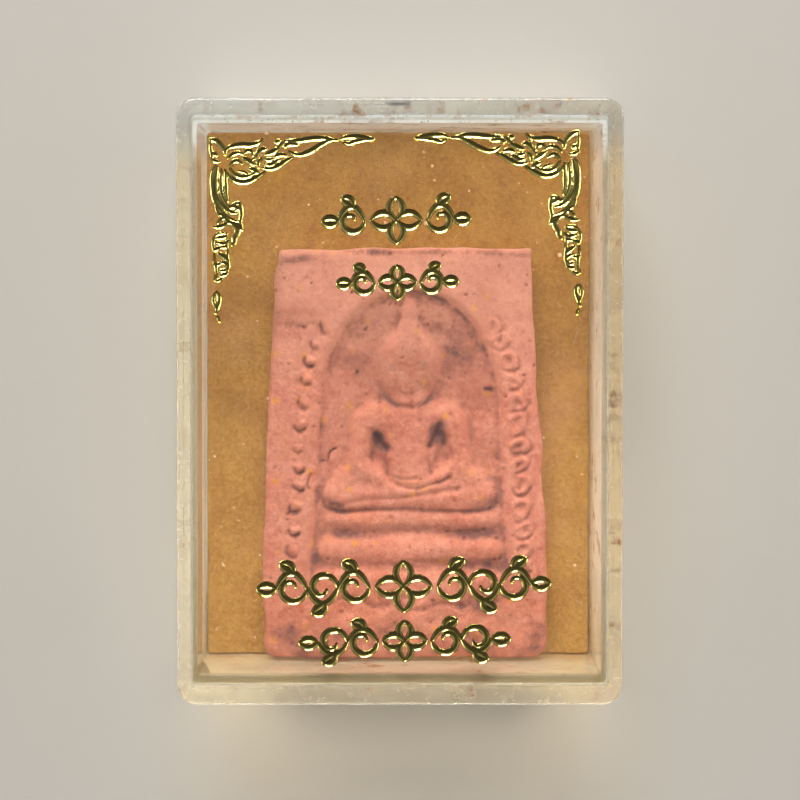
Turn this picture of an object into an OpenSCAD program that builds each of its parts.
// Pressed clay votive tablet on a card, lying in a small clear two-part display box.
// The box lies on its back: X runs across the tablet, Y runs up to the figure's head,
// Z runs out of the lid's face. The origin is the centre of the box's back.

/* [Display box] */
// Width of the closed box, across the tablet
box_w = 37.5; // [34:0.5:44]
// Length of the closed box, along the tablet
box_l = 51; // [48:0.5:60]
// Depth of the closed box, from back to face
box_h = 13; // [11:0.5:18]
// Radius of the box's upright corners
box_corner = 1.6; // [1.4:0.1:3]

/* [Lid] */
// Thickness of the lid's flat face
lid_plate = 1.2; // [0.8:0.1:2]
// Thickness of the lid's long walls
lid_side_wall = 1.1; // [0.8:0.1:1.6]
// Thickness of the lid's end walls
lid_end_wall = 1.25; // [0.8:0.05:1.8]
// Width of the moulding mark on the lid's head end
nub_w = 2; // [1:0.1:4]
// How far the moulding mark stands out
nub_out = 0.2; // [0.1:0.05:0.5]

/* [Tray] */
// Thickness of the tray's back plate
tray_floor = 1.2; // [0.8:0.1:2]
// Thickness of the tray's long walls
tray_side_wall = 0.5; // [0.4:0.05:1]
// Thickness of the tray's end walls
tray_end_wall = 0.7; // [0.4:0.05:1.2]
// Clearance between lid and tray, all round and at the seam
fit_gap = 0.1; // [0.05:0.01:0.2]

/* [Backing pad] */
// Thickness of the card under the tablet
pad_t = 1; // [0.5:0.1:2]
// Clearance between the card and the tray's walls
pad_gap = 0.15; // [0.1:0.05:0.5]
// Clearance under each piece that lies on another
seat_gap = 0.05; // [0.02:0.01:0.1]

/* [Tablet] */
// Width of the tablet at its foot
tablet_foot_w = 25.2; // [20:0.2:29]
// Width of the tablet at its head
tablet_head_w = 22; // [18:0.2:28]
// Length of the tablet
tablet_l = 35.8; // [30:0.2:42]
// Thickness of the tablet without its relief
tablet_t = 3.6; // [2.5:0.1:4.5]
// Radius of the tablet's corners
tablet_corner = 1.3; // [0.8:0.1:2.5]
// How far the tablet's edges are worn back
tablet_wear = 0.4; // [0.2:0.05:0.7]
// Gap between the tablet's foot and the tray's end wall
tablet_foot_gap = 0.3; // [0.1:0.1:1]
// How far the tablet lies to the right of the box's middle
tablet_off = 0.6; // [0:0.1:1.5]

/* [Relief] */
// Height of the seated figure above the tablet's face
figure_rise = 0.9; // [0.5:0.05:1.4]
// Height of the arch's ridge
ridge_rise = 0.45; // [0.2:0.05:0.8]
// Width of the arch's ridge
ridge_w = 0.6; // [0.4:0.05:1]
// Height of the border curls
curl_rise = 0.35; // [0.2:0.05:0.6]
// Radius of one border curl
curl_r = 0.62; // [0.4:0.02:0.8]
// Distance from one border curl to the next
curl_pitch = 1.83; // [1.5:0.01:2.6]

/* [Gold foil] */
// Height of the raised foil
foil_h = 0.25; // [0.15:0.05:0.5]
// Width of a foil stroke at its middle
foil_w = 0.36; // [0.26:0.02:0.6]
// Turn of the whole foil print on the lid, in degrees
foil_turn = 1.2; // [0:0.1:2]
// Width over both corner ornaments
foil_span = 31.2; // [26:0.2:32]
// Distance from the box's middle up to the corner ornaments
foil_top = 22.4; // [18:0.2:22.8]
// Length of one corner ornament's long arm
corner_arm = 13.9; // [9:0.1:15]

/* [Hidden] */

$fn = 48;
// How far a piece of relief is sunk into the face that carries it
bite = 0.3;
// How far a cutting body runs past the solid it cuts
past = 1;
// Segments along a bowed foil stroke and along a curl, and the width of a stroke's tips as a
// share of its middle
bow_steps = 8;
curl_steps = 20;
stroke_tip_share = 0.35;
// Segments round half of the arch's head, and round a boss of the relief
arch_steps = 16;
relief_fn = 20;
// Length of the moulding mark along the box's depth, and its height over the seam
nub_l = 1.2;
nub_up = 0.6;

// Lid and tray: the tray's upright wall stands inside the lid's
lid_in_w = box_w - 2 * lid_side_wall;
lid_in_l = box_l - 2 * lid_end_wall;
wall_out_w = lid_in_w - 2 * fit_gap;
wall_out_l = lid_in_l - 2 * fit_gap;
tray_in_w = wall_out_w - 2 * tray_side_wall;
tray_in_l = wall_out_l - 2 * tray_end_wall;
lid_in_corner = max(0.2, box_corner - lid_side_wall);
wall_out_corner = max(0.15, lid_in_corner - fit_gap);
seam_z = tray_floor + fit_gap;
lid_under_z = box_h - lid_plate;
wall_top_z = lid_under_z - fit_gap;

// What lies in the tray, from the floor up
pad_z = tray_floor + seat_gap;
tablet_z = pad_z + pad_t + seat_gap;
face_z = tablet_z + tablet_t;
tablet_foot_y = -tray_in_l / 2 + tablet_foot_gap;
foil_z = box_h + seat_gap;

// The relief's middle lies a little to the right of the tablet's
relief_off = 0.014 * tablet_foot_w;

// Arch and border, as shares of the tablet's foot width (u) and length (v)
// [half width at the foot, half width where the curve starts, foot, start of curve, top]
ARCH = [0.357, 0.318, 0.128, 0.6, 0.908];
BORDER = [0.409, 0.367, 0.19, 0.6, 0.94];
// The border stops this many degrees up the curved part
border_stop = 44;

// Rounded bars and bosses of the seated figure, all as shares like the arch
// [u start, v start, half width, u end, v end, half width, rise as a share of figure_rise]
FIGURE = [
    [0, 0.728, 0.093, 0, 0.688, 0.07, 1],              // head
    [0, 0.785, 0.042, 0, 0.803, 0.03, 0.8],            // topknot
    [0, 0.803, 0.022, 0, 0.868, 0.01, 0.55],           // flame on the topknot
    [0, 0.66, 0.04, 0, 0.61, 0.05, 0.65],              // neck
    [-0.135, 0.592, 0.045, 0.135, 0.592, 0.045, 0.75], // shoulders
    [0, 0.6, 0.125, 0, 0.43, 0.066, 0.9],              // chest to waist
    [-0.07, 0.41, 0.04, 0.07, 0.41, 0.04, 0.8],        // hands in the lap
    [-0.235, 0.386, 0.044, 0.235, 0.386, 0.044, 0.9],  // crossed legs
];
// The left arm, which is mirrored for the right one
ARM = [
    [-0.16, 0.585, 0.036, -0.182, 0.475, 0.033, 0.75],
    [-0.182, 0.475, 0.033, -0.05, 0.418, 0.03, 0.75],
];
// Steps of the throne, from the top: [half length, height up the tablet, half width]
THRONE = [[0.274, 0.337, 0.026], [0.286, 0.262, 0.036], [0.31, 0.178, 0.046]];
throne_rise = 0.7;

// Leaves of one corner ornament, as shares of corner_arm from its outer corner; x runs
// inwards along the top, y runs down the side
// [x start, y start, x end, y end, bulge of one edge, bulge of the other, inner veins]
CORNER_LEAVES = [
    [0.005, 0, 0.065, 0.14, -0.25, 0.18, 1],     // pod at the corner
    [0.105, 0.12, 0.335, 0.125, -0.34, 0.3, 3],  // first scroll of the top arm
    [0.3, 0.125, 0.515, 0.08, -0.2, 0.26, 2],    // second scroll of the top arm
    [0.47, 0.055, 0.78, 0.01, -0.04, 0.17, 0],   // long leaf of the top arm
    [0.8, 0.004, 1, 0.002, -0.09, 0.1, 0],       // bud of the top arm
    [0.062, 0.91, 0.05, 1.1, 0.13, -0.13, 0],    // bud of the side arm
];
// Single strokes of the side arm, in the same shares
// [x start, y start, x end, y end, bulge, width as a share of foil_w]
CORNER_STROKES = [
    [0.045, 0.145, 0.072, 0.41, 0.08, 1],        // outer stem
    [0.082, 0.145, 0.1, 0.39, 0.04, 1],          // middle stem
    [0.117, 0.145, 0.127, 0.4, 0.02, 1],         // inner stem
    [0.072, 0.395, 0.19, 0.46, 0.16, 1.4],       // floor of the hook
    [0.122, 0.425, 0.195, 0.45, -0.5, 1.1],      // curl of the hook
    [0.195, 0.435, 0.212, 0.54, -0.08, 1],       // tail of the hook
    [0.045, 0.39, 0.214, 0.545, 0.14, 1],        // lower edge of the hook
    [0.03, 0.53, 0.14, 0.49, 0.16, 1.1],         // side leaf
    [0.075, 0.455, 0.135, 0.56, 0.06, 1],        // stalk down to the braid
];
// The tapering braid of the side arm
// [top, foot, middle at the top, middle at the foot, half width at top and at foot, strokes]
BRAID = [0.575, 0.84, 0.085, 0.06, 0.062, 0.02, 8];

// Foil bands, as shares of the box's length (height up the lid) and width
// [middle up the lid, half length over box_w, half height over box_w, scrolls on each side]
BANDS = [
    [0.299, 0.165, 0.05168, 1],   // crown
    [0.197, 0.135, 0.03808, 1],   // brow
    [-0.303, 0.328, 0.05712, 3],  // throne
    [-0.393, 0.236, 0.04488, 2],  // foot
];
// Shares of a band's half height: the flower, the space after it, and the vine's swing
flower_share = 1.1;
space_share = 0.25;
swing_share = 0.62;
// Length of a band's end bud as a share of one scroll
bud_share = 0.6;

function lerp(a, b, t) = a + (b - a) * t;

// A bowed line from a to b: its middle lies off the chord by bulge times the chord
function bow(a, b, bulge) = [
    for (i = [0:bow_steps])
        let (t = i / bow_steps)
        lerp(a, b, t) + 4 * bulge * t * (1 - t) * [a.y - b.y, b.x - a.x]
];

// A curl round a centre, from one radius and angle to another
function curl(centre, r0, r1, a0, a1) = [
    for (i = [0:curl_steps])
        let (t = i / curl_steps, a = lerp(a0, a1, t))
        centre + lerp(r0, r1, t) * [cos(a), sin(a)]
];

// One long edge of a ribbon of foil laid along a path, thinner at its tips
function ribbon_edge(path, w, side) =
    let (last = len(path) - 1)
    [
        for (i = [0:last])
            let (
                way = path[min(i + 1, last)] - path[max(i - 1, 0)],
                half = w / 2 * lerp(stroke_tip_share, 1, sin(180 * i / last))
            )
            path[i] + side * half / norm(way) * [-way.y, way.x]
    ];
function reversed(list) = [for (i = [len(list) - 1:-1:0]) list[i]];

// Half of the arch at share v up the tablet, and its outline set in by a width
function arch_leg(arch, v) = lerp(arch[0], arch[1], (v - arch[2]) / (arch[3] - arch[2]));
function arch_outline(arch, inset) =
    let (
        foot = arch[0] * tablet_foot_w - inset,
        start = arch[1] * tablet_foot_w - inset,
        top = (arch[4] - arch[3]) * tablet_l - inset,
        y_foot = arch[2] * tablet_l,
        y_start = arch[3] * tablet_l
    )
    concat(
        [[foot, y_foot]],
        [for (i = [0:2 * arch_steps]) let (a = 90 * i / arch_steps)
            [start * cos(a), y_start + top * sin(a)]],
        [[-foot, y_foot]]
    );

// A plate with upright round corners, its underside at z = 0
module rounded_plate(w, l, h, r) {
    linear_extrude(h) {
        square([w - 2 * r, l], center = true);
        square([w, l - 2 * r], center = true);
        for (x = [-1, 1], y = [-1, 1])
            translate([x * (w / 2 - r), y * (l / 2 - r)]) circle(r);
    }
}

module lid() {
    color("lightcyan", 0.4) {
        translate([0, 0, seam_z]) difference() {
            rounded_plate(box_w, box_l, box_h - seam_z, box_corner);
            translate([0, 0, -past])
                rounded_plate(lid_in_w, lid_in_l, lid_under_z - seam_z + past, lid_in_corner);
        }
        translate([-nub_w / 2, box_l / 2 - lid_end_wall / 2, seam_z + nub_up])
            cube([nub_w, lid_end_wall / 2 + nub_out, nub_l]);
    }
}

module tray() {
    color("ivory", 0.5) {
        rounded_plate(box_w, box_l, tray_floor, box_corner);
        difference() {
            translate([0, 0, tray_floor / 2])
                rounded_plate(wall_out_w, wall_out_l, wall_top_z - tray_floor / 2, wall_out_corner);
            translate([-tray_in_w / 2, -tray_in_l / 2, tray_floor])
                cube([tray_in_w, tray_in_l, wall_top_z]);
        }
    }
}

module backing_card() {
    color("peru")
        translate([0, 0, pad_z])
            translate([-tray_in_w / 2 + pad_gap, -tray_in_l / 2 + pad_gap, 0])
                cube([tray_in_w - 2 * pad_gap, tray_in_l - 2 * pad_gap, pad_t]);
}

// One corner of the tablet's slab, worn back at its front and back edges
module slab_corner() {
    translate([0, 0, tablet_wear]) cylinder(h = tablet_t - 2 * tablet_wear, r = tablet_corner);
    cylinder(h = tablet_t, r = tablet_corner - tablet_wear);
}

module slab() {
    hull() for (side = [-1, 1]) {
        translate([side * (tablet_foot_w / 2 - tablet_corner), tablet_corner, 0]) slab_corner();
        translate([side * (tablet_head_w / 2 - tablet_corner), tablet_l - tablet_corner, 0])
            slab_corner();
    }
}

// A flattened round boss, half of it sunk in the face
module boss(u, v, half_w, rise) {
    translate([u * tablet_foot_w, v * tablet_l])
        scale([half_w * tablet_foot_w, half_w * tablet_foot_w, rise]) sphere(1, $fn = relief_fn);
}

// A rounded bar from one row of the figure's table
module relief_bar(row) {
    hull() {
        boss(row[0], row[1], row[2], row[6] * figure_rise);
        boss(row[3], row[4], row[5], row[6] * figure_rise);
    }
}

// The seated figure on its throne
module figure_relief() {
    for (row = FIGURE) relief_bar(row);
    for (row = ARM) {
        relief_bar(row);
        mirror([1, 0, 0]) relief_bar(row);
    }
    for (row = THRONE)
        relief_bar([-row[0], row[1], row[2], row[0], row[1], row[2], throne_rise]);
}

module arch_ridge() {
    linear_extrude(ridge_rise + bite) difference() {
        polygon(arch_outline(ARCH, 0));
        polygon(arch_outline(ARCH, ridge_w));
        translate([-tablet_foot_w, 0]) square([2 * tablet_foot_w, ARCH[2] * tablet_l + ridge_w / 2]);
    }
}

// One curl of the border: a round boss with a smaller round cut out of it off centre
module border_curl() {
    difference() {
        circle(curl_r, $fn = relief_fn);
        translate([-0.3 * curl_r, 0.25 * curl_r]) circle(0.5 * curl_r, $fn = relief_fn);
    }
}

// The curls follow the arch at a distance, up its leg and then round its shoulder
module border_row() {
    leg = (BORDER[3] - BORDER[2]) * tablet_l;
    wide = BORDER[1] * tablet_foot_w;
    high = (BORDER[4] - BORDER[3]) * tablet_l;
    on_leg = floor(leg / curl_pitch);
    turn = curl_pitch / high * 180 / PI;
    for (i = [0:on_leg - 1])
        let (v = BORDER[3] - (i + 0.5) * curl_pitch / tablet_l)
        translate([arch_leg(BORDER, v) * tablet_foot_w, v * tablet_l]) border_curl();
    for (a = [turn / 2:turn:border_stop])
        translate([wide * cos(a), BORDER[3] * tablet_l + high * sin(a)]) rotate(a) border_curl();
}

module clay_tablet() {
    color("darksalmon")
        translate([tablet_off, tablet_foot_y, tablet_z]) {
            slab();
            translate([relief_off, 0, tablet_t]) {
                figure_relief();
                translate([0, 0, -bite]) {
                    arch_ridge();
                    linear_extrude(curl_rise + bite) {
                        border_row();
                        mirror([1, 0]) border_row();
                    }
                }
            }
        }
}

// A ribbon of foil along a path
module ribbon(path, w) {
    polygon(concat(ribbon_edge(path, w, 1), reversed(ribbon_edge(path, w, -1))));
}

// Two bowed edges that meet at both tips, with shorter veins between them
module leaf(a, b, one, other, veins) {
    ribbon(bow(a, b, one), foil_w);
    ribbon(bow(a, b, other), foil_w);
    if (veins > 0)
        for (i = [1:veins])
            let (share = i / (veins + 1))
            ribbon(bow(lerp(a, b, 0.04 + 0.1 * share), lerp(a, b, 0.9 - 0.2 * share),
                lerp(one, other, share)), 0.85 * foil_w);
}

// Short crossing strokes between two edges that narrow down to a tail
module braid() {
    count = BRAID[6];
    for (i = [0:count - 1])
        let (
            t = i / (count - 1),
            x = lerp(BRAID[2], BRAID[3], t),
            y = lerp(BRAID[0], BRAID[1], t),
            half = lerp(BRAID[4], BRAID[5], t),
            drop = i % 2 == 0 ? 0.004 : 0.02
        )
        ribbon(bow(corner_arm * [x - half, y - drop], corner_arm * [x + half, y + drop], -0.16),
            0.9 * foil_w);
    for (side = [-1, 1])
        ribbon(bow(corner_arm * [BRAID[2] + side * BRAID[4], BRAID[0]],
            corner_arm * [BRAID[3], BRAID[1] + 0.035], -0.06 * side), 0.7 * foil_w);
}

// One corner ornament, with its outer corner at the origin and y running down
module corner_ornament() {
    for (row = CORNER_LEAVES)
        leaf(corner_arm * [row[0], row[1]], corner_arm * [row[2], row[3]], row[4], row[5], row[6]);
    for (row = CORNER_STROKES)
        ribbon(bow(corner_arm * [row[0], row[1]], corner_arm * [row[2], row[3]], row[4]),
            row[5] * foil_w);
    braid();
}

// A foil print on the lid, turned as the whole print is
module foil() {
    color("gold") translate([0, 0, foil_z]) rotate(foil_turn) linear_extrude(foil_h) children();
}

module corner_ornament_left() {
    foil() translate([-foil_span / 2, foil_top]) mirror([0, 1]) corner_ornament();
}

module corner_ornament_right() {
    foil() mirror([1, 0]) translate([-foil_span / 2, foil_top]) mirror([0, 1]) corner_ornament();
}

// A flower of four leaves in the middle, with a vine of scrolls and a bud on each side
module foil_band(row) {
    half_l = row[1] * box_w;
    half_h = row[2] * box_w;
    count = row[3];
    flower = flower_share * half_h;
    first = flower + space_share * half_h;
    step = (half_l - first) / (count + bud_share);
    translate([0, row[0] * box_l])
        for (side = [0, 1]) mirror([side, 0]) {
            leaf([0, 0], [flower, 0], 0.3, -0.3, 0);
            mirror([0, side]) leaf([0, 0], [0, half_h], 0.3, -0.3, 0);
            for (i = [0:count - 1])
                translate([first + i * step, 0]) mirror([0, i % 2]) scroll(step, half_h);
            leaf([half_l - bud_share * step, 0], [half_l, 0], 0.24, -0.24, 0);
        }
}

// Half a wave of the vine, with a curl inside it and a leaf over it
module scroll(step, high) {
    swing = swing_share * high;
    ribbon(bow([0, 0], [step, 0], swing / step), foil_w);
    ribbon(curl([step / 2, 0], step / 2, 0.14 * step, 180, 520), foil_w);
    leaf([0.4 * step, swing], [0.85 * step, high], 0.3, -0.12, 0);
}

module foil_band_crown() { foil() foil_band(BANDS[0]); }
module foil_band_brow() { foil() foil_band(BANDS[1]); }
module foil_band_throne() { foil() foil_band(BANDS[2]); }
module foil_band_foot() { foil() foil_band(BANDS[3]); }

tray();
backing_card();
clay_tablet();
lid();
corner_ornament_left();
corner_ornament_right();
foil_band_crown();
foil_band_brow();
foil_band_throne();
foil_band_foot();
